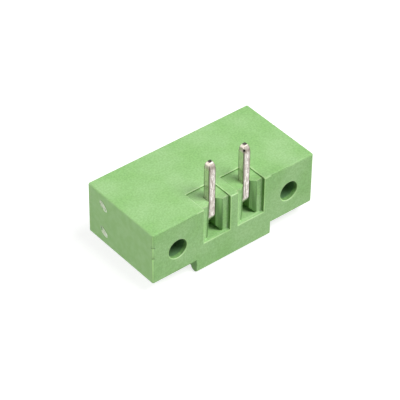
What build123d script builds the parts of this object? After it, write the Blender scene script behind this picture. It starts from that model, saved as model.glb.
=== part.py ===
from build123d import *
import os

# Right-angle pluggable header for a circuit board: two poles, with a screw flange at each end.
# It lies on its own top, as a loose header does, so the side that meets the board faces up (+Z).
# X runs along the row of contacts, Y from the back face (-Y) to the mating face (+Y).
# Z = 0 is the lowest line of the rounded bead, and X = Y = 0 is the middle of the housing's outline.
# All sizes are in millimetres.

# Row of contacts
poles = 2
pitch = 5.08

# Housing, outside
body_depth = 12.1
flange_width = 6.4
flange_height = 7.25      # board face to the plain side of the flanges
middle_height = 8.55      # board face to the plain side of the thicker middle
middle_margin = 0.47      # housing beyond the outer poles' half pitch, on each side
middle_step = 0.06        # the middle stands this far behind the flanges' back faces
middle_ledge = 0.06       # and stops this far short of the board face
edge_round = 0.25
middle_round = 0.12

# Rounded bead along the back edge of the middle
bead_rise = 0.5
bead_depth = 1.1
bead_crown = 0.55         # from the flanges' back faces to the bead's lowest line
bead_heel = 0.38          # height at which the bead's curve leaves the back face

# Open cavity that takes the plug
wall = 0.95
plug_play = 0.17
back_wall = 4.6           # thickness of the wall that holds the contacts
cavity_corner = 0.3
mouth_bevel = 0.2
key_width = 1.7           # groove for the plug's polarising rib, one for each pole
key_depth = 0.4
coding_width = 0.9        # slot for a coding tab, on the side of the board
coding_depth = 0.35
groove_length = 5.6       # of both, from the mating face

# Contacts: square wire, bent once
pin_size = 1.0
pin_corner = 0.1
pin_row = 1.5             # centre of the solder legs, from the flanges' back faces
pin_drop = 3.95           # centre of the contact legs, from the board face
pin_bend = 1.6            # bend radius at the centre of the wire
solder_reach = 5.1        # beyond the board face
contact_recess = 1.4      # tip behind the mating face
solder_taper = 1.0
contact_taper = 0.9
tip_end = 0.46            # width of the blunt end
tip_shoulder = 0.84       # width where the taper steepens
shoulder_place = 0.62     # and how far along the taper that is
pin_gap = 0.02            # room round the wire in its channel

# Stepped notch in the back face at each solder leg
pocket_width = 3.9
pocket_length = 3.45      # forward from the flanges' back faces
pocket_sink = 0.25        # below the board face
recess_depth = 0.48
recess_height = 5.05      # board face to the floor of the notch
throat_width = 2.24       # at the recess
throat_depth = 1.0        # where the throat has closed in to the slot
window_height = 0.6       # straight opening above the floor, where the wire bends in
window_depth = 2.3

# Screw flanges, with captive square nuts behind the mating face
screw_inset = 3.65        # from the end face
screw_drop = 3.84         # below the board face
screw_hole = 2.6
nut_width = 5.0
nut_thickness = 2.0
nut_bore = 2.05           # core of the M2.5 thread
nut_countersink = 0.25
nut_bevel = 60            # degrees from the nut's axis
nut_recess = 3.9          # mating face to the front of the nut
nut_gap = 0.05

# Dents punched into each end face to keep the nut in
stake_width = 1.6
stake_sink = 0.3
stake_spread = 3.8        # between the two dents of one flange
stake_shift = 0.3         # the pair's middle above the screw line
stake_inset = 2.95        # from the mating face
stake_slope = 40          # degrees, sides of the dent

# Levels and lines that follow from the sizes above
board_z = middle_height + bead_rise
flange_z = board_z - flange_height
middle_z = bead_rise
mating_y = (body_depth + middle_step) / 2
back_y = mating_y - body_depth
middle_back_y = back_y - middle_step
middle_width = pitch * poles + 2 * middle_margin
body_length = middle_width + 2 * flange_width
pole_xs = [pitch * (i - (poles - 1) / 2) for i in range(poles)]
contact_z = board_z - pin_drop
solder_y = back_y + pin_row
channel_width = pin_size + 2 * pin_gap
slot_floor_y = solder_y + channel_width / 2
cavity_floor_y = back_y + back_wall
screw_z = board_z - screw_drop
screw_xs = [side * (body_length / 2 - screw_inset) for side in (-1, 1)]
nut_pocket = nut_width + 2 * nut_gap
nut_seat_y = mating_y - nut_recess - nut_thickness


def facing_back(y):
    """Plane at y whose normal is -Y, so that a positive extrusion goes into the housing."""
    return Plane.XZ.offset(-y)


def bent_wire(x, width, corner, contact_y, solder_z):
    """Square wire from its contact end, round one bend and up to its solder end."""
    with BuildPart() as wire:
        with BuildLine(Plane.YZ.offset(x)) as route:
            FilletPolyline(
                (contact_y, contact_z),
                (solder_y, contact_z),
                (solder_y, solder_z),
                radius=pin_bend,
            )
        with BuildSketch(Plane(origin=route.line @ 0, x_dir=(1, 0, 0), z_dir=route.line % 0)):
            RectangleRounded(width, width, corner)
        sweep(path=route.line)
    return wire.part


def pressed_tip(base, length):
    """Tip of a contact, pressed to a taper in two steps, growing along the base plane's normal."""
    steps = [(0, pin_size), (shoulder_place * length, tip_shoulder), (length, tip_end)]
    with BuildPart() as tip:
        for rise, width in steps:
            with BuildSketch(base.offset(rise)):
                RectangleRounded(width, width, pin_corner * width / pin_size)
        loft(ruled=True)
    return tip.part


# Thicker middle with its bead: one section in the YZ plane, run along X
with BuildPart() as middle:
    with BuildSketch(Plane.YZ.offset(-middle_width / 2)):
        with BuildLine():
            Polyline(
                (back_y + bead_depth, middle_z),
                (mating_y, middle_z),
                (mating_y, screw_z),
                (solder_y, screw_z),
                (solder_y, board_z - middle_ledge),
                (middle_back_y, board_z - middle_ledge),
                (middle_back_y, bead_heel),
            )
            ThreePointArc(
                (middle_back_y, bead_heel),
                (back_y + bead_crown / 3, bead_heel / 4),
                (back_y + bead_crown, 0),
            )
            ThreePointArc(
                (back_y + bead_crown, 0),
                (back_y + (bead_crown + 2 * bead_depth) / 3, bead_rise / 3),
                (back_y + bead_depth, middle_z),
            )
        make_face()
    extrude(amount=middle_width)
    back_corners = middle.edges().filter_by(Axis.Z).group_by(Axis.Y)[0]
    mating_corner = middle.edges().filter_by(Axis.X).group_by(Axis.Z)[1].sort_by(Axis.Y)[-1]
    fillet([*back_corners, mating_corner], middle_round)

# Channels that hold the wires in the back wall
channels = [bent_wire(x, channel_width, pin_corner, cavity_floor_y, board_z) for x in pole_xs]

with BuildPart() as housing:
    # Flanged bar, then the middle through it
    with BuildSketch(Plane.XY.offset(flange_z)):
        with Locations((0, back_y)):
            Rectangle(body_length, body_depth, align=(Align.CENTER, Align.MIN))
    extrude(amount=flange_height)
    fillet(housing.edges(), edge_round)
    add(middle.part)

    # Cavity for the plug, with a bevel round its mouth
    cavity_width = middle_width - 2 * (middle_margin - plug_play)
    cavity_low = middle_z + wall
    cavity_high = board_z - wall
    cavity_height = cavity_high - cavity_low
    with BuildSketch(facing_back(mating_y)):
        with Locations((0, (cavity_low + cavity_high) / 2)):
            RectangleRounded(cavity_width, cavity_height, cavity_corner)
    extrude(amount=body_depth - back_wall, mode=Mode.SUBTRACT)
    with BuildSketch(facing_back(mating_y)):
        with Locations((0, (cavity_low + cavity_high) / 2)):
            RectangleRounded(
                cavity_width + 2 * mouth_bevel,
                cavity_height + 2 * mouth_bevel,
                cavity_corner + mouth_bevel,
            )
    extrude(amount=mouth_bevel, taper=45, mode=Mode.SUBTRACT)

    # Grooves for the plug's ribs and for coding tabs
    with BuildSketch(facing_back(mating_y)):
        with Locations([(x, cavity_low) for x in pole_xs]):
            Rectangle(key_width, 2 * key_depth)
        with Locations([(x, cavity_high) for x in pole_xs]):
            Rectangle(coding_width, 2 * coding_depth)
    extrude(amount=groove_length, mode=Mode.SUBTRACT)

    # Pocket in the board face and outer recess in the back face, at each solder leg
    for length, depth in [(pocket_length, pocket_sink), (recess_depth, recess_height)]:
        with BuildSketch(Plane.XY.offset(board_z)):
            with Locations([(x, middle_back_y) for x in pole_xs]):
                Rectangle(pocket_width, length + middle_step, align=(Align.CENTER, Align.MIN))
        extrude(amount=-depth, mode=Mode.SUBTRACT)

    # Throat that narrows to the slot for the wire, and the straight window at its foot
    with BuildSketch(Plane.XY.offset(board_z)):
        for x in pole_xs:
            with BuildLine():
                Polyline(
                    (x - throat_width / 2, back_y + recess_depth),
                    (x - channel_width / 2, back_y + throat_depth),
                    (x - channel_width / 2, slot_floor_y),
                    (x + channel_width / 2, slot_floor_y),
                    (x + channel_width / 2, back_y + throat_depth),
                    (x + throat_width / 2, back_y + recess_depth),
                    close=True,
                )
            make_face()
    extrude(amount=-recess_height, mode=Mode.SUBTRACT)
    with BuildSketch(Plane.XY.offset(board_z - recess_height)):
        with Locations([(x, back_y) for x in pole_xs]):
            Rectangle(throat_width, window_depth, align=(Align.CENTER, Align.MIN))
    extrude(amount=window_height, mode=Mode.SUBTRACT)
    for channel in channels:
        add(channel, mode=Mode.SUBTRACT)

    # Screw holes through the flanges, and square pockets for the nuts
    with BuildSketch(facing_back(mating_y)):
        with Locations([(x, screw_z) for x in screw_xs]):
            Circle(screw_hole / 2)
    extrude(amount=body_depth, mode=Mode.SUBTRACT)
    with BuildSketch(facing_back(mating_y)):
        with Locations([(x, screw_z) for x in screw_xs]):
            Rectangle(nut_pocket, nut_pocket)
    extrude(amount=nut_recess + nut_thickness, mode=Mode.SUBTRACT)

    # Staking: each dent in an end face pushes a small lug into the pocket, in front of the nut
    stake_points = [
        (mating_y - stake_inset, screw_z + stake_shift + side * stake_spread / 2) for side in (-1, 1)
    ]
    for side, x in zip((-1, 1), screw_xs):
        with BuildSketch(Plane.YZ.offset(side * body_length / 2)):
            with Locations(stake_points):
                Circle(stake_width / 2)
        extrude(amount=-side * stake_sink, taper=stake_slope, mode=Mode.SUBTRACT)
        with BuildSketch(Plane.YZ.offset(x + side * nut_pocket / 2)):
            with Locations(stake_points):
                Circle(stake_width / 2 - stake_sink / 2)
        extrude(amount=-side * stake_sink, taper=stake_slope)
housing.part.label = "housing"

# Contacts, one to each pole
contacts = []
for number, x in enumerate(pole_xs, start=1):
    contact_y = mating_y - contact_recess - contact_taper
    solder_z = board_z + solder_reach - solder_taper
    with BuildPart() as contact:
        add(bent_wire(x, pin_size, pin_corner, contact_y, solder_z))
        add(pressed_tip(Plane(origin=(x, solder_y, solder_z), z_dir=(0, 0, 1)), solder_taper))
        add(pressed_tip(Plane(origin=(x, contact_y, contact_z), z_dir=(0, 1, 0)), contact_taper))
    contact.part.label = f"contact_pin_{number}"
    contacts.append(contact.part)

# Square nuts, bevelled on the side that the screw enters
nuts = []
for number, x in enumerate(screw_xs, start=1):
    seat = Plane(origin=(x, nut_seat_y, screw_z), x_dir=(1, 0, 0), z_dir=(0, 1, 0))
    with BuildPart() as nut:
        with BuildSketch(seat):
            Rectangle(nut_width, nut_width)
        extrude(amount=nut_thickness)
        with BuildSketch(seat.offset(nut_thickness)):
            Circle(nut_width / 2)
        extrude(amount=-nut_thickness, taper=-nut_bevel, mode=Mode.INTERSECT)
        with BuildSketch(seat):
            Circle(nut_bore / 2)
        extrude(amount=nut_thickness, mode=Mode.SUBTRACT)
        chamfer(nut.edges().filter_by(GeomType.CIRCLE).group_by(SortBy.RADIUS)[0], nut_countersink)
    nut.part.label = f"flange_nut_{number}"
    nuts.append(nut.part)

os.makedirs("parts", exist_ok=True)
for piece in [housing.part, *contacts, *nuts]:
    export_step(piece, f"parts/{piece.label}.step")
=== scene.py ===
import math

import bmesh
import bpy
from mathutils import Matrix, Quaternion, Vector


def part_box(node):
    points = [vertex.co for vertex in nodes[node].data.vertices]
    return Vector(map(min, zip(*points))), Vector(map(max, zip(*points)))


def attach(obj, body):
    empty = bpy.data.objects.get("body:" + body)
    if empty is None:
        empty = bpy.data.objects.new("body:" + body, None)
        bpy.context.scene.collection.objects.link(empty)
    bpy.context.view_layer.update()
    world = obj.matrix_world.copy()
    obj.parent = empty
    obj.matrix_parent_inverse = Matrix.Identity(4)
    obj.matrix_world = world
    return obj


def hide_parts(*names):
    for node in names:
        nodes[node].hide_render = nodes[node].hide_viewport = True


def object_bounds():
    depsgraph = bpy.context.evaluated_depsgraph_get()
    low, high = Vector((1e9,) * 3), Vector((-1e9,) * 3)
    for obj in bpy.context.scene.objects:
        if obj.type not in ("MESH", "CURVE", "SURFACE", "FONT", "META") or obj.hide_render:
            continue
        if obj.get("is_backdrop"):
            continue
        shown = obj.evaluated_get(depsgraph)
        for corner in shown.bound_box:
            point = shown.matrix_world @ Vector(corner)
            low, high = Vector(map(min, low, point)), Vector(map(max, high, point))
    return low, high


# Right-angle pluggable header, two poles, in green polyamide with tinned pins and nickelled nuts.
# It lies on its own top: X along the row of pins, -Y its back, +Z the side that meets the board.

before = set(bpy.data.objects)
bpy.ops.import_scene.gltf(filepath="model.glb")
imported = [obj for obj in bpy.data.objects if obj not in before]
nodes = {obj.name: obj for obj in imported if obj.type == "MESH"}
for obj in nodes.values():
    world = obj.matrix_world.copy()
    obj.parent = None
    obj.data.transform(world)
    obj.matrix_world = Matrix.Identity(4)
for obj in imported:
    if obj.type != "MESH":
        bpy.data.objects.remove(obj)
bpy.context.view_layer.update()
mm = 0.001
print("frame loaded:", len(nodes), "nodes")


def linear(hexColour):
    # sRGB hex to the linear colour that the shaders work in
    channels = [int(hexColour[i:i + 2], 16) / 255 for i in (1, 3, 5)]
    return [c / 12.92 if c <= 0.04045 else ((c + 0.055) / 1.055) ** 2.4 for c in channels] + [1.0]


def addNode(tree, kind, settings=None, **links):
    # one node: settings and links are its properties, its inputs' values or sockets that feed its
    # inputs, and stops are a colour ramp's pairs of position and hex colour
    node = tree.nodes.new(kind)
    for key, value in {**(settings or {}), **links}.items():
        if key == "stops":
            elements = node.color_ramp.elements
            for element, (position, colour) in zip(elements, value):
                element.position, element.color = position, linear(colour)
            for position, colour in value[2:]:
                elements.new(position).color = linear(colour)
        elif isinstance(key, str) and hasattr(node, key):
            setattr(node, key, value)
        elif isinstance(value, bpy.types.NodeSocket):
            tree.links.new(value, node.inputs[key])
        else:
            node.inputs[key].default_value = value
    return node


def newMaterial(name, finish):
    # finish holds values for the shader's inputs
    material = bpy.data.materials.new(name)
    material.use_nodes = True
    shader = material.node_tree.nodes["Principled BSDF"]
    for key, value in finish.items():
        shader.inputs[key].default_value = value
    return material, material.node_tree, shader


def spots(tree, place, size, stretch=(1, 1, 1), detail=2.0, turn=0):
    # noise whose blotches are about size mm across, drawn out by stretch along X, Y and Z and then
    # turned by degrees about X
    settings = {
        "vector_type": "TEXTURE",
        "Rotation": (math.radians(turn), 0, 0),
        "Scale": [size * mm * s for s in stretch],
    }
    mapping = addNode(tree, "ShaderNodeMapping", settings, Vector=place)
    settings = {"Scale": 1.0, "Detail": detail}
    return addNode(tree, "ShaderNodeTexNoise", settings, Vector=mapping.outputs[0]).outputs["Fac"]


def blotches(tree, place, size, levels, stretch=(1, 1, 1), turn=0):
    # a mask of such noise, which goes from none to all of it between two of its levels
    noise = spots(tree, place, size, stretch, 3.0, turn)
    settings = {"stops": list(zip(levels, ("#000000", "#ffffff")))}
    return addNode(tree, "ShaderNodeValToRGB", settings, Fac=noise).outputs[0]


# Working on a mesh in millimetres

modelling = {
    "weldDistance": 0.0005,      # mm, joins the loose triangles of the CAD mesh
    "flatAngle": 0.5,            # degrees, under which neighbouring faces are one flat face
    "softenAbove": 60,           # degrees, over which an outer edge is softened
    "roundSegments": 2,
    "sharpAngle": 50,            # degrees, over which an edge shades as an edge
    "lean": 0.1,                 # how far a normal may lean towards an axis that its face runs along
}
touch = 0.01                     # mm, under which two places are the same


def weldedCopy(nodeName):
    mesh = bmesh.new()
    mesh.from_mesh(nodes[nodeName].data)
    bmesh.ops.scale(mesh, vec=Vector((1, 1, 1)) / mm, verts=mesh.verts)
    bmesh.ops.remove_doubles(mesh, verts=mesh.verts, dist=modelling["weldDistance"])
    flat = math.radians(modelling["flatAngle"])
    bmesh.ops.dissolve_limit(mesh, angle_limit=flat, verts=mesh.verts, edges=mesh.edges)
    for face in mesh.faces:
        face.material_index = 0
    return mesh


def nodeBox(nodeName):
    low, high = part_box(nodeName)
    return Vector(low) / mm, Vector(high) / mm


def cutAcross(mesh, faces, point, normal):
    edges = {edge for face in faces for edge in face.edges}
    verts = {vertex for edge in edges for vertex in edge.verts}
    bmesh.ops.bisect_plane(
        mesh, geom=[*verts, *edges, *faces], plane_co=point, plane_no=normal,
        dist=modelling["weldDistance"],
    )


def outerEdges(mesh):
    limit = modelling["softenAbove"]
    return [edge for edge in mesh.edges if math.degrees(edge.calc_face_angle_signed()) > limit]


def soften(mesh, edges, offset, **choices):
    # choices are the settings of the bevel that differ from piece to piece
    return bmesh.ops.bevel(
        mesh, geom=edges, offset=offset, offset_type="OFFSET", segments=modelling["roundSegments"],
        profile=0.5, affect="EDGES", loop_slide=True, **choices,
    )


def finishPiece(mesh, name, materials, replaced):
    # back to metres, then shaded so that flat faces stay flat and small rounds stay smooth
    bmesh.ops.scale(mesh, vec=Vector((1, 1, 1)) * mm, verts=mesh.verts)
    data = bpy.data.meshes.new(name)
    mesh.to_mesh(data)
    mesh.free()
    for material in materials:
        data.materials.append(material)
    data.shade_smooth()
    data.set_sharp_from_angle(angle=math.radians(modelling["sharpAngle"]))
    piece = bpy.data.objects.new(name, data)
    bpy.context.scene.collection.objects.link(piece)
    weighted = piece.modifiers.new("Weighted Normal", "WEIGHTED_NORMAL")
    weighted.keep_sharp = True
    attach(piece, "root")
    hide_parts(replaced)


# Places that the pieces share, in mm, from the CAD solids

housingLow, housingHigh = nodeBox("housing")
pinBoxes = [nodeBox(f"contact_pin_{number}") for number in (1, 2)]
pinXs = [(low.x + high.x) / 2 for low, high in pinBoxes]
nutBoxes = [nodeBox(f"flange_nut_{number}") for number in (1, 2)]
pinFront = pinBoxes[0][0].y
pinWidth = pinBoxes[0][1].x - pinBoxes[0][0].x
boardZ = housingHigh.z


# Green polyamide: the moulding's own green, and grades of it that carry painted shade and painted
# highlights

plastic = {
    "mottleSize": 5.0,           # mm, soft clouds in the colour
    "grainSize": 0.22,           # mm, drawn coarser than the spark-eroded skin is
    "grainDepth": 0.012,         # mm
    "grainBump": 0.35,
    "roughness": 0.52,
    "specular": 0.35,
    "glow": 0.12,                # share of light that goes under the skin
    "glowColour": (0.7, 1.0, 0.45),
    "glowReach": 0.25,           # mm
    "endStart": 0.2,             # mm in from an end face, where its greyer shade begins
    "endFull": 0.02,             # and where it is full
    "endMottleSize": 0.9,        # mm
    "endGreens": ("#97c67d", "#a0cc88"),
    "lineSize": 0.22,            # mm, width of the upright lines in the throats
    "lineShare": 0.5,
    "tearSize": 0.14,            # mm, width of the tears in the dents
    "tearColour": "#effcdf",
    "scarTurn": 37,              # degrees from Y towards Z, the way that the dents run
}
plasticGrades = {                # dull and fresh green, and how strongly the grain shows in them
    "moulded": ("#96c97d", "#a6d390", 0.45),     # the skin as it left the mould
    "edgeHighlight": ("#b4dd98", "#c8ecb0", 0.2),       # softened edges, paler and yellower: painted highlight
    "cornerHighlight": ("#b5e694", "#c4f3a4", 0.2),         # upright edges, paler still: painted highlight
    "throat": ("#7fb268", "#8abd72", 0.2),       # walls of the throats and mouths of the holes, darker: painted shade
    "darkShade": ("#588b3d", "#629547", 0.2),        # channels, sides of the notches, lips of the dents, darker still: painted shade
    "stretched": ("#86b276", "#97c188", 0.3),    # staking dents, between their tears
    "shaded": ("#5d8757", "#679161", 0.2),       # screw holes past their mouths, where little light comes
}


def greyerEnds(tree, place, colour):
    # the two end faces are a shade greyer than the rest, in smaller clouds
    axes = addNode(tree, "ShaderNodeSeparateXYZ", Vector=place)
    reach = addNode(tree, "ShaderNodeMath", {"operation": "ABSOLUTE", 0: axes.outputs["X"]})
    start, full = [(housingHigh.x - plastic[key]) * mm for key in ("endStart", "endFull")]
    settings = {"From Min": start, "From Max": full}
    atEnd = addNode(tree, "ShaderNodeMapRange", settings, Value=reach.outputs[0])
    clouds = spots(tree, place, plastic["endMottleSize"], detail=4.0)
    stops = list(zip((0.38, 0.62), plastic["endGreens"]))
    greys = addNode(tree, "ShaderNodeValToRGB", {"stops": stops}, Fac=clouds)
    settings = {"data_type": "RGBA", 0: atEnd.outputs[0], 6: colour, 7: greys.outputs[0]}
    return addNode(tree, "ShaderNodeMix", settings).outputs[2]


def uprightLines(tree, place, colour):
    # darker lines up the walls
    lines = spots(tree, place, plastic["lineSize"], (1, 1, 40))
    stops = [(0.35, "#a8a8a8"), (0.65, "#ffffff")]
    shade = addNode(tree, "ShaderNodeValToRGB", {"stops": stops}, Fac=lines)
    settings = {"data_type": "RGBA", "blend_type": "MULTIPLY", 0: plastic["lineShare"]}
    settings.update({6: colour, 7: shade.outputs[0]})
    return addNode(tree, "ShaderNodeMix", settings).outputs[2]


def whiteTears(tree, place, colour):
    # torn white where the punch has stretched the plastic
    tears = blotches(tree, place, plastic["tearSize"], (0.36, 0.48), (1, 5, 1), plastic["scarTurn"])
    settings = {"data_type": "RGBA", 0: tears, 6: colour, 7: linear(plastic["tearColour"])}
    return addNode(tree, "ShaderNodeMix", settings).outputs[2]


plasticPatterns = {"moulded": greyerEnds, "throat": uprightLines, "stretched": whiteTears}


def polyamide(grade):
    # semi-matt green plastic: clouds from dull to fresh, under a fine pale and dark grain
    dull, fresh, grain = plasticGrades[grade]
    material, tree, shader = newMaterial(f"{grade}Polyamide", {
        "Roughness": plastic["roughness"],
        "Specular IOR Level": plastic["specular"],
        "Subsurface Weight": plastic["glow"],
        "Subsurface Radius": plastic["glowColour"],
        "Subsurface Scale": plastic["glowReach"] * mm,
    })
    place = addNode(tree, "ShaderNodeTexCoord").outputs["Object"]
    clouds = spots(tree, place, plastic["mottleSize"], detail=3.0)
    stops = [(0.38, dull), (0.62, fresh)]
    green = addNode(tree, "ShaderNodeValToRGB", {"stops": stops}, Fac=clouds)
    fine = spots(tree, place, plastic["grainSize"], detail=3.0)
    stops = [(0.38, "#a8a8a8"), (0.62, "#d0d0d0")]
    shade = addNode(tree, "ShaderNodeValToRGB", {"stops": stops}, Fac=fine)
    settings = {"data_type": "RGBA", "blend_type": "OVERLAY", 0: grain}
    settings.update({6: green.outputs[0], 7: shade.outputs[0]})
    colour = addNode(tree, "ShaderNodeMix", settings).outputs[2]
    if grade in plasticPatterns:
        colour = plasticPatterns[grade](tree, place, colour)
    tree.links.new(colour, shader.inputs["Base Color"])
    settings = {"Strength": plastic["grainBump"], "Distance": plastic["grainDepth"] * mm}
    bump = addNode(tree, "ShaderNodeBump", settings, Height=fine)
    tree.links.new(bump.outputs[0], shader.inputs["Normal"])
    return material


plasticMaterials = [polyamide(grade) for grade in plasticGrades]
gradeNumber = {grade: number for number, grade in enumerate(plasticGrades)}
print("plastic made:", len(plasticMaterials), "grades")


# Housing: the CAD shape with its outer edges softened, as a mould leaves them

housing = {
    "edgeRound": 0.1,            # mm
    "uprightLean": 0.3,          # how far the normal of an upright edge's round may lean
    "cornerReach": 0.3,          # mm from the ends, where the upright corners' rounds lie
    "highlightFacing": (0.4, 0.92),   # least and most that the normals of their middles lean endwards, where a painted highlight goes
    "stepDrop": 0.05,            # mm, that comes off the solid's low step between flange and middle
    "pinChannel": 0.53,          # mm, just over half the channel of a pin, which keeps its crisp edges
    "throatEnd": 0.04,           # mm in front of the pin's front face, where throat and channel meet
    "throatHalf": 1.13,          # mm, from the pin's middle to just past the throat's side
    "recessDepth": 0.5,          # mm from the back face, just short of where the throat starts
    "throatInset": 0.06,         # mm past that, where the painted shade on its walls begins
    "recessHalf": 1.95,          # mm, from the pin's middle to the recess's side
    "recessInset": 0.1,          # mm from the back face, where the painted shade on the recess's sides begins
    "recessSlack": 0.02,         # mm, either way
    "pocketSink": 0.25,          # mm, board face to the floor of the pocket
    "floorDrop": 5.05,           # mm, board face to the floor of the notch
    "windowHeight": 0.6,         # mm, of the window at the foot of the throat
    "outerFoot": 0.08,           # mm above the notch's floor, where the throat's walls end
    "innerFoot": 0.75,           # and where they end beside the wire
    "footInset": 0.1,            # mm in from the throat's side, as far as a foot counts as outer
    "holeRadius": 1.3,           # mm
    "mouthDepth": 0.65,          # mm, of a hole's mouth, whose painted shade is lighter than that deeper in
    "nickDrops": (1.9, 3.5),     # mm, below the board face, of two chips in the near upright corner
    "nickHalf": 0.1,             # mm, up and down
    "nickInset": 0.1,            # mm, by which a chip stays inside the corner's reach
    "nickDepth": 0.06,           # mm
    "dentInset": 2.95,           # mm, from the mating face
    "dentDrops": (1.64, 5.44),   # mm, below the board face
    "dentReach": 0.82,           # mm, round the middle of a dent
    "dentSink": 0.35,            # mm, more than a dent is deep
    "dentRim": 0.02,             # mm, how little a face is sunk that still belongs to the end face
    "dentNarrow": 0.62,          # width of a dent to its length
    "dentShallow": 0.5,          # depth of a dent to that of the solid's
    "dentLip": 0.04,             # mm from its middle, where the painted shade on its upper lip begins
}
pocketZ = boardZ - housing["pocketSink"]
notchFloorZ = boardZ - housing["floorDrop"]
stepY = housingLow.y + housing["stepDrop"]
mouthY = housingLow.y + housing["mouthDepth"]
nickZs = [boardZ - drop for drop in housing["nickDrops"]]
dentCentres = [(housingHigh.y - housing["dentInset"], boardZ - drop) for drop in housing["dentDrops"]]
dentTurn = math.radians(plastic["scarTurn"])
dentAlong = Vector((0, math.cos(dentTurn), math.sin(dentTurn)))
dentAcross = Vector((0, -math.sin(dentTurn), math.cos(dentTurn)))


def besidePin(point):
    # distance along the row from the middle of the nearest pin
    return min(abs(point.x - pinX) for pinX in pinXs)


def inPinChannel(point):
    return besidePin(point) < housing["pinChannel"] and point.y > pinFront - housing["throatEnd"]


def inThroat(point):
    isDeep = point.y - housingLow.y > housing["recessDepth"] + housing["throatInset"]
    isBetween = notchFloorZ + housing["windowHeight"] < point.z < pocketZ
    return besidePin(point) < housing["throatHalf"] and isDeep and isBetween


def onNotchSide(point):
    # upright walls of the pocket and the recess's sides
    aside, slack = besidePin(point), housing["recessSlack"]
    isDeep = point.y - housingLow.y > housing["recessInset"]
    onRecessSide = abs(aside - housing["recessHalf"]) < slack and isDeep
    onPocketWall = pocketZ < point.z and aside < housing["recessHalf"] + slack
    return notchFloorZ < point.z < boardZ - touch and (onRecessSide or onPocketWall)


def inScrewHole(point):
    return any(
        math.hypot(point.x - (low.x + high.x) / 2, point.z - (low.z + high.z) / 2) < housing["holeRadius"]
        and point.y < low.y
        for low, high in nutBoxes
    )


def holeFaces(mesh):
    walls = [face for face in mesh.faces if abs(face.normal.y) < modelling["lean"]]
    return [face for face in walls if inScrewHole(face.calc_center_median())]


def isUpright(face):
    return abs(face.normal.z) < modelling["lean"]


def inDent(point):
    return abs(point.x) > housingHigh.x - housing["dentSink"] and any(
        math.hypot(point.y - y, point.z - z) < housing["dentReach"] for y, z in dentCentres
    )


def fromDent(point):
    # offset from the middle of the nearest dent
    return min((point - Vector((point.x, y, z)) for y, z in dentCentres), key=lambda offset: offset.length)


def dentFaces(mesh):
    centres = [(face, face.calc_center_median()) for face in mesh.faces]
    rimX = housingHigh.x - housing["dentRim"]
    return [face for face, middle in centres if inDent(middle) and abs(middle.x) < rimX]


def narrowDents(mesh):
    # the punch is a chisel: each round dent of the solid becomes a slanting one
    for vertex in mesh.verts:
        if not inDent(vertex.co):
            continue
        offset = fromDent(vertex.co)
        centre = vertex.co - offset
        lengthwise = dentAlong * offset.dot(dentAlong)
        vertex.co = centre + lengthwise + (offset - lengthwise) * housing["dentNarrow"]
        sink = (housingHigh.x - abs(vertex.co.x)) * housing["dentShallow"]
        vertex.co.x = math.copysign(housingHigh.x - sink, vertex.co.x)
    for y, z in dentCentres:
        cutAcross(mesh, dentFaces(mesh), Vector((0, y, z)) + dentAcross * housing["dentLip"], dentAcross)


def slantThroatFeet(mesh):
    # the throat's walls run on nearly to the floor at the recess, and rise towards the wire
    windowTop = notchFloorZ + housing["windowHeight"]
    recessY = housingLow.y + housing["recessDepth"]
    outerFrom = housing["throatHalf"] - housing["footInset"]
    for vertex in mesh.verts:
        inFront = recessY < vertex.co.y < pinFront + touch
        if inFront and abs(vertex.co.z - windowTop) < touch:
            isOuter = besidePin(vertex.co) > outerFrom
            vertex.co.z = notchFloorZ + housing["outerFoot" if isOuter else "innerFoot"]


def lowerTheStep(mesh):
    # the middle stands barely proud of the flanges' back faces
    for vertex in mesh.verts:
        vertex.co.y = max(vertex.co.y, stepY)


def onNearCorner(point, reach):
    # the upright corner's round, between the back and the left end
    return point.x < housingLow.x + reach and point.y < stepY + reach


def isNick(point):
    return onNearCorner(point, housing["cornerReach"]) and any(
        abs(nickZ - point.z) < housing["nickHalf"] for nickZ in nickZs
    )


def nickTheCorner(mesh):
    # two small chips in the round
    for nickZ in nickZs:
        for height in (nickZ - housing["nickHalf"], nickZ, nickZ + housing["nickHalf"]):
            centres = [(face, face.calc_center_median()) for face in mesh.faces if isUpright(face)]
            rounds = [face for face, middle in centres if onNearCorner(middle, housing["cornerReach"])]
            cutAcross(mesh, rounds, (0, 0, height), (0, 0, 1))
    nickReach = housing["cornerReach"] - housing["nickInset"]
    for vertex in mesh.verts:
        atNick = any(abs(vertex.co.z - nickZ) < touch for nickZ in nickZs)
        if atNick and onNearCorner(vertex.co, nickReach):
            vertex.co += Vector((1, 1, 0)).normalized() * housing["nickDepth"]


def staysCrisp(edge):
    # at the dents, the channels and the window over each notch's floor
    ends = [vertex.co for vertex in edge.verts]
    atWindow = all(
        notchFloorZ + touch < end.z < notchFloorZ + housing["innerFoot"] + touch
        and besidePin(end) < housing["recessHalf"]
        for end in ends
    )
    return atWindow or any(inPinChannel(end) or inDent(end) for end in ends)


def gradeOf(face):
    # of a face that is neither softened nor in a dent: a painted highlight on the upright corners' rounds,
    # painted shade in the pins' channels, on the notches' sides and on the throats' walls
    middle = face.calc_center_median()
    fromFacing, toFacing = housing["highlightFacing"]
    atEnd = abs(middle.x) > housingHigh.x - housing["cornerReach"]
    if isUpright(face) and atEnd and fromFacing < abs(face.normal.x) < toFacing:
        return "cornerHighlight"
    if inPinChannel(middle) and middle.z < pocketZ - touch:
        return "darkShade"
    if isUpright(face) and onNotchSide(middle):
        return "darkShade"
    if isUpright(face) and inThroat(middle):
        return "throat"
    return "moulded"


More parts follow.
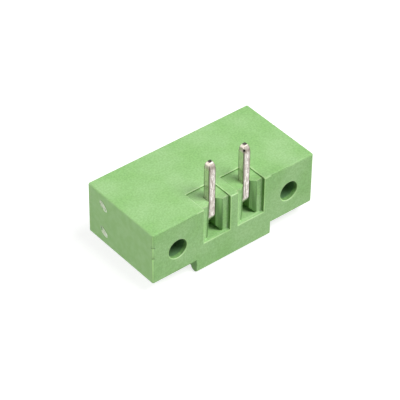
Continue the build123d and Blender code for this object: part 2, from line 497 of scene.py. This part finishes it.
def gradeFaces(mesh, softenedFaces):
    # painted highlights on the softened edges, strongest on the upright corners
    for face in softenedFaces:
        isCorner = abs(face.normal.z) < housing["uprightLean"]
        face.material_index = gradeNumber["cornerHighlight" if isCorner else "edgeHighlight"]
    # painted shade on the upper lip of each dent; the rest is stretched and torn white
    for face in dentFaces(mesh):
        inLipShade = fromDent(face.calc_center_median()).dot(dentAcross) > housing["dentLip"]
        face.material_index = gradeNumber["darkShade" if inLipShade else "stretched"]
    plain = gradeNumber["moulded"]
    for face in mesh.faces:
        if isNick(face.calc_center_median()):
            face.material_index = plain
        elif face.material_index == plain:
            face.material_index = gradeNumber[gradeOf(face)]
    # painted shade down the screw holes, lighter at their mouths
    for face in holeFaces(mesh):
        if face.material_index == plain:
            isMouth = face.calc_center_median().y < mouthY
            face.material_index = gradeNumber["throat" if isMouth else "shaded"]


housingMesh = weldedCopy("housing")
narrowDents(housingMesh)
slantThroatFeet(housingMesh)
lowerTheStep(housingMesh)
nickTheCorner(housingMesh)
cutAcross(housingMesh, holeFaces(housingMesh), (0, mouthY, 0), (0, 1, 0))
sharpEdges = [edge for edge in outerEdges(housingMesh) if not staysCrisp(edge)]
print("housing:", len(sharpEdges), "edges to soften")
softened = soften(housingMesh, sharpEdges, housing["edgeRound"], material=-1, clamp_overlap=False)
gradeFaces(housingMesh, softened["faces"])
finishPiece(housingMesh, "housingMoulding", plasticMaterials, "housing")
print("housing made")


# Pins: matt tin, rolled along the wire, with sheared ends

pins = {
    "shoulderRound": 0.035,      # mm
    "sharpAbove": 12,            # degrees, between the facets of the pressed tip
    "tipLength": 1.02,           # mm, just over the length of the pressed taper
    "endSlice": 0.02,            # mm, how thin a slice of the tip counts as its end face
    "pitNumber": 2,              # the pin with a pit in the ridge of its tip
    "pitZ": 13.7,                # mm above the floor
    "pitHalf": 0.26,             # mm, up and down
    "pitReach": 0.24,            # mm, from the corner of the wire along each face
    "pitDepth": 0.3,             # mm
    # the pit's bottom: dark bare alloy, nearly black with painted shade
    "pitColour": "#221f1c",
    "pitRoughness": 0.8,
    "uprightFrom": (6.2, 6.8),   # mm above the floor, where the bend turns into the upright leg
    "sidesFrom": 0.06,           # mm behind the front face, where the sides begin
    "streakSize": 0.16,          # mm across
    "streakDepth": 0.01,         # mm
    "streakBump": 0.3,
    "tinColours": ("#aea39b", "#cbc4bb", "#ece9e3"),
    "speckSize": 0.13,           # mm
    "speckShare": 0.45,          # how strongly they show
    "speckColour": "#74665e",
    "sideShare": 0.45,           # how far the sides turn to their own colour
    "sideColour": "#f4f1ec",
    "patchSize": 0.25,           # mm
    "patchShare": 0.55,          # how strongly they show at the foot of the leg
    "patchFades": (8.8, 9.9),    # mm above the floor, where the patches thin out and end
    "patchColour": "#77746a",
    # a painted dark reflection along the wire's four corners
    "edgeReflectionFrom": (0.3, 0.4),   # mm from the wire's middle both ways, where it begins and is full
    "edgeReflectionShare": 0.85,        # how strongly it shows along the corners
    "edgeReflectionColour": "#6c6e5a",
    "mattFrom": (13.1, 13.4),    # mm above the floor, where the pressed tip turns matt
    "mattColour": "#ccc7c1",
    "roughness": (0.14, 0.24),   # from the darkest streaks to the palest
    "tipRoughness": 0.45,
    "smearSize": 0.12,           # mm, of the tin that the shears have drawn over the ends
    "smearDepth": 0.02,          # mm
    "smearBump": 0.6,
    "smearRoughness": 0.5,
    "smearColours": ("#34332f", "#86817a"),
}


def overlap(tree, *masks):
    # how much of a place lies under all the masks, each of them a socket or a share
    cover = masks[0]
    for mask in masks[1:]:
        settings = {"operation": "MULTIPLY", 0: cover, 1: mask}
        cover = addNode(tree, "ShaderNodeMath", settings).outputs[0]
    return cover


def rolledTin():
    # dull silvery tin, streaked along the wire, specked, with a painted dark reflection along its four
    # corners
    material, tree, shader = newMaterial("rolledTin", {"Metallic": 1.0})
    place = addNode(tree, "ShaderNodeTexCoord").outputs["Object"]
    axes = addNode(tree, "ShaderNodeSeparateXYZ", Vector=place).outputs
    settings = {"From Min": pins["uprightFrom"][0] * mm, "From Max": pins["uprightFrom"][1] * mm}
    standing = addNode(tree, "ShaderNodeMapRange", settings, Value=axes["Z"]).outputs[0]
    settings = {"From Min": pins["mattFrom"][0] * mm, "From Max": pins["mattFrom"][1] * mm}
    atTip = addNode(tree, "ShaderNodeMapRange", settings, Value=axes["Z"]).outputs[0]
    settings = {"From Min": pins["patchFades"][0] * mm, "From Max": pins["patchFades"][1] * mm}
    settings.update({"To Min": pins["patchShare"], "To Max": 0.0})
    scraped = addNode(tree, "ShaderNodeMapRange", settings, Value=axes["Z"]).outputs[0]
    lying, upright = [spots(tree, place, pins["streakSize"], s, 3.0) for s in ((1, 5, 1), (1, 1, 5))]
    settings = {"data_type": "RGBA", 0: standing, 6: lying, 7: upright}
    streaks = addNode(tree, "ShaderNodeMix", settings).outputs[2]
    stops = list(zip((0.34, 0.5, 0.66), pins["tinColours"]))
    colour = addNode(tree, "ShaderNodeValToRGB", {"stops": stops}, Fac=streaks).outputs[0]
    specks = blotches(tree, place, pins["speckSize"], (0.6, 0.69), (1, 1, 1.6))
    patches = blotches(tree, place, pins["patchSize"], (0.45, 0.58))
    settings = {"operation": "GREATER_THAN", 0: axes["Y"], 1: (pinFront + pins["sidesFrom"]) * mm}
    onSides = addNode(tree, "ShaderNodeMath", settings).outputs[0]
    # the wire's corners are where both distances from its middle are large
    fromRow = addNode(tree, "ShaderNodeMath", {"operation": "ABSOLUTE", 0: axes["X"]}).outputs[0]
    distances = []
    for socket, middle in ((fromRow, pinXs[1]), (axes["Y"], pinFront + pinWidth / 2)):
        offset = addNode(tree, "ShaderNodeMath", {"operation": "SUBTRACT", 0: socket, 1: middle * mm})
        distance = addNode(tree, "ShaderNodeMath", {"operation": "ABSOLUTE", 0: offset.outputs[0]})
        distances.append(distance.outputs[0])
    settings = {"operation": "MINIMUM", 0: distances[0], 1: distances[1]}
    inCorner = addNode(tree, "ShaderNodeMath", settings).outputs[0]
    settings = {"From Min": pins["edgeReflectionFrom"][0] * mm, "From Max": pins["edgeReflectionFrom"][1] * mm}
    settings["To Max"] = pins["edgeReflectionShare"]
    edgeReflection = addNode(tree, "ShaderNodeMapRange", settings, Value=inCorner).outputs[0]
    layers = (
        # brown specks
        (overlap(tree, specks, pins["speckShare"]), pins["speckColour"], "MIX"),
        # the sides are smoother than the front, and mirror the green more fully
        (overlap(tree, onSides, pins["sideShare"]), pins["sideColour"], "MIX"),
        # matt patches low on the sides, where the channel has scraped the tin as the wire was bent
        (overlap(tree, scraped, onSides, standing, patches), pins["patchColour"], "MIX"),
        # a painted dark reflection along the four corners
        (overlap(tree, edgeReflection, standing), pins["edgeReflectionColour"], "MIX"),
        # the pressed tip, greyer and more matt than the rolled wire
        (atTip, pins["mattColour"], "MULTIPLY"),
    )
    for cover, hexColour, blend in layers:
        settings = {"data_type": "RGBA", "blend_type": blend, 0: cover, 6: colour, 7: linear(hexColour)}
        colour = addNode(tree, "ShaderNodeMix", settings).outputs[2]
    tree.links.new(colour, shader.inputs["Base Color"])
    settings = {"To Min": pins["roughness"][0], "To Max": pins["roughness"][1]}
    dullness = addNode(tree, "ShaderNodeMapRange", settings, Value=streaks)
    settings = {"To Min": dullness.outputs[0], "To Max": pins["tipRoughness"]}
    dullness = addNode(tree, "ShaderNodeMapRange", settings, Value=atTip)
    tree.links.new(dullness.outputs[0], shader.inputs["Roughness"])
    settings = {"Strength": pins["streakBump"], "Distance": pins["streakDepth"] * mm}
    bump = addNode(tree, "ShaderNodeBump", settings, Height=streaks)
    tree.links.new(bump.outputs[0], shader.inputs["Normal"])
    return material


def shearedAlloy():
    # sheared ends, dark bare alloy between smears of tin
    finish = {"Metallic": 1.0, "Roughness": pins["smearRoughness"]}
    material, tree, shader = newMaterial("shearedAlloy", finish)
    place = addNode(tree, "ShaderNodeTexCoord").outputs["Object"]
    torn = spots(tree, place, pins["smearSize"], (1, 2.5, 1), 3.0)
    stops = list(zip((0.4, 0.7), pins["smearColours"]))
    colour = addNode(tree, "ShaderNodeValToRGB", {"stops": stops}, Fac=torn)
    tree.links.new(colour.outputs[0], shader.inputs["Base Color"])
    settings = {"Strength": pins["smearBump"], "Distance": pins["smearDepth"] * mm}
    bump = addNode(tree, "ShaderNodeBump", settings, Height=torn)
    tree.links.new(bump.outputs[0], shader.inputs["Normal"])
    return material


def tarnishAndShadeAlloy():
    # the bottom of a pit in the tin: dark bare alloy, made nearly black with painted shade
    finish = {"Base Color": linear(pins["pitColour"]), "Roughness": pins["pitRoughness"]}
    return newMaterial("tarnishAndShadeAlloy", finish)[0]


pinSkins = ["tin", "sheared", "tarnishAndShade"]
pinMaterials = [rolledTin(), shearedAlloy(), tarnishAndShadeAlloy()]


def facetEdges(mesh, high):
    # level edges between the facets of the two pressed tips, apart from those round their end faces
    chosen = []
    for edge in mesh.edges:
        first, second = [vertex.co for vertex in edge.verts]
        isFold = math.degrees(edge.calc_face_angle()) > pins["sharpAbove"]
        isLevel = abs(first.z - second.z) < touch and abs(first.y - second.y) < pinWidth
        onUpperTip = high.z - pins["tipLength"] < first.z < high.z - pins["endSlice"]
        onRearTip = high.y - pins["tipLength"] < first.y < high.y - pins["endSlice"]
        isAcross = abs(first.y - second.y) < touch
        if isFold and isLevel and (onUpperTip or onRearTip and isAcross):
            chosen.append(edge)
    return chosen


def pitTheRidge(mesh, corner):
    # a hollow knocked into the ridge between the front and left faces of the tip
    pitZ, pitHalf = pins["pitZ"], pins["pitHalf"]
    for height in (pitZ - pitHalf, pitZ, pitZ + pitHalf):
        cutAcross(mesh, mesh.faces[:], (0, 0, height), (0, 0, 1))
    inner = corner + Vector((1, 1, 0)) * pins["pitReach"]
    for normal in ((1, 0, 0), (0, 1, 0)):
        belt = [face for face in mesh.faces if abs(face.calc_center_median().z - pitZ) < pitHalf]
        cutAcross(mesh, belt, inner, normal)
    ring = [vertex for vertex in mesh.verts if abs(vertex.co.z - pitZ) < touch]
    hollow = [vertex for vertex in ring if vertex.co.x < inner.x - touch and vertex.co.y < inner.y - touch]
    for vertex in hollow:
        vertex.co += Vector((1, 1, 0)).normalized() * pins["pitDepth"]
    for face in mesh.faces:
        if any(vertex in hollow for vertex in face.verts):
            face.material_index = pinSkins.index("tarnishAndShade")


for number, (low, high) in enumerate(pinBoxes, start=1):
    mesh = weldedCopy(f"contact_pin_{number}")
    tipEdges = facetEdges(mesh, high)
    print("pin", number, "tip edges", len(tipEdges))
    for face in mesh.faces:
        middle = face.calc_center_median()
        if middle.z > high.z - pins["endSlice"] or middle.y > high.y - pins["endSlice"]:
            face.material_index = pinSkins.index("sheared")
    soften(mesh, tipEdges, pins["shoulderRound"], material=pinSkins.index("tin"), clamp_overlap=True)
    isPitted = number == pins["pitNumber"]
    if isPitted:
        pitTheRidge(mesh, low)
    materials = pinMaterials if isPitted else pinMaterials[:2]
    finishPiece(mesh, f"pin{number}", materials, f"contact_pin_{number}")
print("pins made")


# Nuts: nickelled, with a real thread cut down the bore

nuts = {
    "bore": 2.05,                # mm, core of the thread
    "threadPitch": 0.45,         # mm
    "threadDepth": 0.24,         # mm
    "threadFlank": 2.4,          # how many times its depth a flank would fall over one pitch
    "countersink": 0.25,         # mm
    "turnSteps": 48,
    "pitchSteps": 8,
    "edgeRound": 0.06,           # mm
    "shortEdge": 0.5,            # mm, under which an edge belongs to the bore and isn't softened
    "hazeSize": 0.5,             # mm
    "hazeColours": ("#b9b2a2", "#cfc9bb"),
    "roughness": (0.22, 0.36),
}


def nickelPlate():
    # bright, warm grey plate with a soft haze on it
    material, tree, shader = newMaterial("nickelPlate", {"Metallic": 1.0})
    place = addNode(tree, "ShaderNodeTexCoord").outputs["Object"]
    haze = spots(tree, place, nuts["hazeSize"], detail=3.0)
    stops = list(zip((0.4, 0.6), nuts["hazeColours"]))
    colour = addNode(tree, "ShaderNodeValToRGB", {"stops": stops}, Fac=haze)
    tree.links.new(colour.outputs[0], shader.inputs["Base Color"])
    settings = {"To Min": nuts["roughness"][0], "To Max": nuts["roughness"][1]}
    dullness = addNode(tree, "ShaderNodeMapRange", settings, Value=haze)
    tree.links.new(dullness.outputs[0], shader.inputs["Roughness"])
    return material


def threadRadius(turn, depth, length):
    # turn in whole turns, depth from one face of the nut in mm
    core = nuts["bore"] / 2
    phase = (depth / nuts["threadPitch"] - turn) % 1
    groove = nuts["threadDepth"] * max(0.0, 1 - nuts["threadFlank"] * abs(phase - 0.5))
    cone = core + nuts["countersink"] - min(depth, length - depth)
    return max(core + groove, cone)


def cutThread(mesh, axisX, axisZ, lowY, highY):
    # the plain bore goes, and a lathed one with a helical groove takes its place
    mouth = nuts["bore"] / 2 + nuts["countersink"]
    bored = [
        face for face in mesh.faces
        if all(
            math.hypot(vertex.co.x - axisX, vertex.co.z - axisZ) < mouth + touch for vertex in face.verts
        )
    ]
    bmesh.ops.delete(mesh, geom=bored, context="FACES")
    length = highY - lowY
    rowCount = round(length / nuts["threadPitch"] * nuts["pitchSteps"])
    rows = []
    for row in range(rowCount + 1):
        depth = length * row / rowCount
        ring = []
        for step in range(nuts["turnSteps"]):
            turn = step / nuts["turnSteps"]
            radius = mouth if row in (0, rowCount) else threadRadius(turn, depth, length)
            angle = 2 * math.pi * turn
            ring.append(mesh.verts.new((
                axisX + radius * math.cos(angle), lowY + depth, axisZ + radius * math.sin(angle),
            )))
        rows.append(ring)
    for ring, following in zip(rows, rows[1:]):
        for step in range(nuts["turnSteps"]):
            after = (step + 1) % nuts["turnSteps"]
            mesh.faces.new((ring[step], ring[after], following[after], following[step]))
    openEdges = [edge for edge in mesh.edges if edge.is_boundary]
    for y in (lowY, highY):
        rims = [edge for edge in openEdges if all(abs(vertex.co.y - y) < touch for vertex in edge.verts)]
        bmesh.ops.bridge_loops(mesh, edges=rims)
    bmesh.ops.recalc_face_normals(mesh, faces=mesh.faces)


nickel = nickelPlate()
for number, (low, high) in enumerate(nutBoxes, start=1):
    nodeName = f"flange_nut_{number}"
    mesh = weldedCopy(nodeName)
    longEdges = [edge for edge in outerEdges(mesh) if edge.calc_length() > nuts["shortEdge"]]
    soften(mesh, longEdges, nuts["edgeRound"], material=-1, clamp_overlap=True)
    cutThread(mesh, (low.x + high.x) / 2, (low.z + high.z) / 2, low.y, high.y)
    finishPiece(mesh, f"squareNut{number}", [nickel], nodeName)
print("nuts made")


# Floor and light: a high soft box behind the pins, a low one under it, and one towards the left end

studio = {
    "floorSize": 6.0,            # m
    "floorColour": "#b4b4b4",
    "floorRoughness": 0.9,
    "floorLift": 0.78,           # keeps the floor white in view, with the object's shadow on it
    "skyStrength": 0.105,
}
softBoxes = {                    # degrees from X towards Y, degrees up, W/m2, degrees across
    "keyBox": {"heading": -60, "elevation": 60, "strength": 2.4, "width": 32},
    "lowBox": {"heading": -75, "elevation": 15, "strength": 0.42, "width": 50},
    "leftBox": {"heading": 150, "elevation": 25, "strength": 1.47, "width": 55},
}


def seenDirectly(tree):
    # 1 for the rays that show the studio itself, 0 for those that light the object
    path = addNode(tree, "ShaderNodeLightPath")
    seen = path.outputs["Is Camera Ray"]
    for kind in ("Is Glossy Ray", "Is Transmission Ray"):
        settings = {"operation": "MAXIMUM", 0: seen, 1: path.outputs[kind]}
        seen = addNode(tree, "ShaderNodeMath", settings).outputs[0]
    return seen


def paleFloor():
    # matt board that shows as white
    material, tree, shader = newMaterial("paleFloor", {
        "Base Color": linear(studio["floorColour"]),
        "Roughness": studio["floorRoughness"],
        "Specular IOR Level": 0.0,
        "Emission Color": (1, 1, 1, 1),
    })
    settings = {"operation": "MULTIPLY", 0: seenDirectly(tree), 1: studio["floorLift"]}
    lift = addNode(tree, "ShaderNodeMath", settings)
    tree.links.new(lift.outputs[0], shader.inputs["Emission Strength"])
    return material


floorMesh = bmesh.new()
bmesh.ops.create_grid(floorMesh, x_segments=1, y_segments=1, size=studio["floorSize"] / 2)
floorData = bpy.data.meshes.new("floor")
floorMesh.to_mesh(floorData)
floorMesh.free()
floorData.materials.append(paleFloor())
floor = bpy.data.objects.new("floor", floorData)
bpy.context.scene.collection.objects.link(floor)
floor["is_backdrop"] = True

world = bpy.data.worlds.new("studioSky")
bpy.context.scene.world = world
world.use_nodes = True
tree = world.node_tree
background = tree.nodes["Background"]
background.inputs["Color"].default_value = (1, 1, 1, 1)
settings = {"To Min": studio["skyStrength"], "To Max": 1.0}
level = addNode(tree, "ShaderNodeMapRange", settings, Value=seenDirectly(tree))
tree.links.new(level.outputs[0], background.inputs["Strength"])


def directionTo(heading, elevation):
    # in degrees, heading from X towards Y
    heading, elevation = math.radians(heading), math.radians(elevation)
    return Vector((
        math.cos(heading) * math.cos(elevation),
        math.sin(heading) * math.cos(elevation),
        math.sin(elevation),
    ))


for name, box in softBoxes.items():
    lampData = bpy.data.lights.new(name, "SUN")
    lampData.energy = box["strength"]
    lampData.angle = math.radians(box["width"])
    lamp = bpy.data.objects.new(name, lampData)
    bpy.context.scene.collection.objects.link(lamp)
    towards = directionTo(box["heading"], box["elevation"])
    lamp.rotation_euler = towards.to_track_quat("Z", "Y").to_euler()


# Camera, from the photograph's perspective

camera = {
    "azimuth": -39.399,          # degrees, 0 looks along +Y
    "elevation": 39.853,
    "roll": 0.638,
    "target": (-1.124, -1.097, 5.507),   # mm, at the image's centre
    "distance": 244.747,         # mm
    "focal": 189.45,             # mm
    "sensor": 36,                # mm
    "clip": (0.01, 20),          # m
}
# from the object towards the camera
backward = directionTo(camera["azimuth"] - 90, camera["elevation"])
cameraData = bpy.data.cameras.new("photoCamera")
cameraData.sensor_width = camera["sensor"]
cameraData.lens = camera["focal"]
cameraData.clip_start, cameraData.clip_end = camera["clip"]
cameraObject = bpy.data.objects.new("photoCamera", cameraData)
bpy.context.scene.collection.objects.link(cameraObject)
cameraObject.location = (Vector(camera["target"]) + backward * camera["distance"]) * mm
cameraObject.rotation_mode = "QUATERNION"
roll = Quaternion((0, 0, 1), math.radians(camera["roll"]))
cameraObject.rotation_quaternion = (-backward).to_track_quat("-Z", "Y") @ roll
bpy.context.scene.camera = cameraObject
bpy.context.scene.view_settings.view_transform = "Standard"
print("studio made")

low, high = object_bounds()
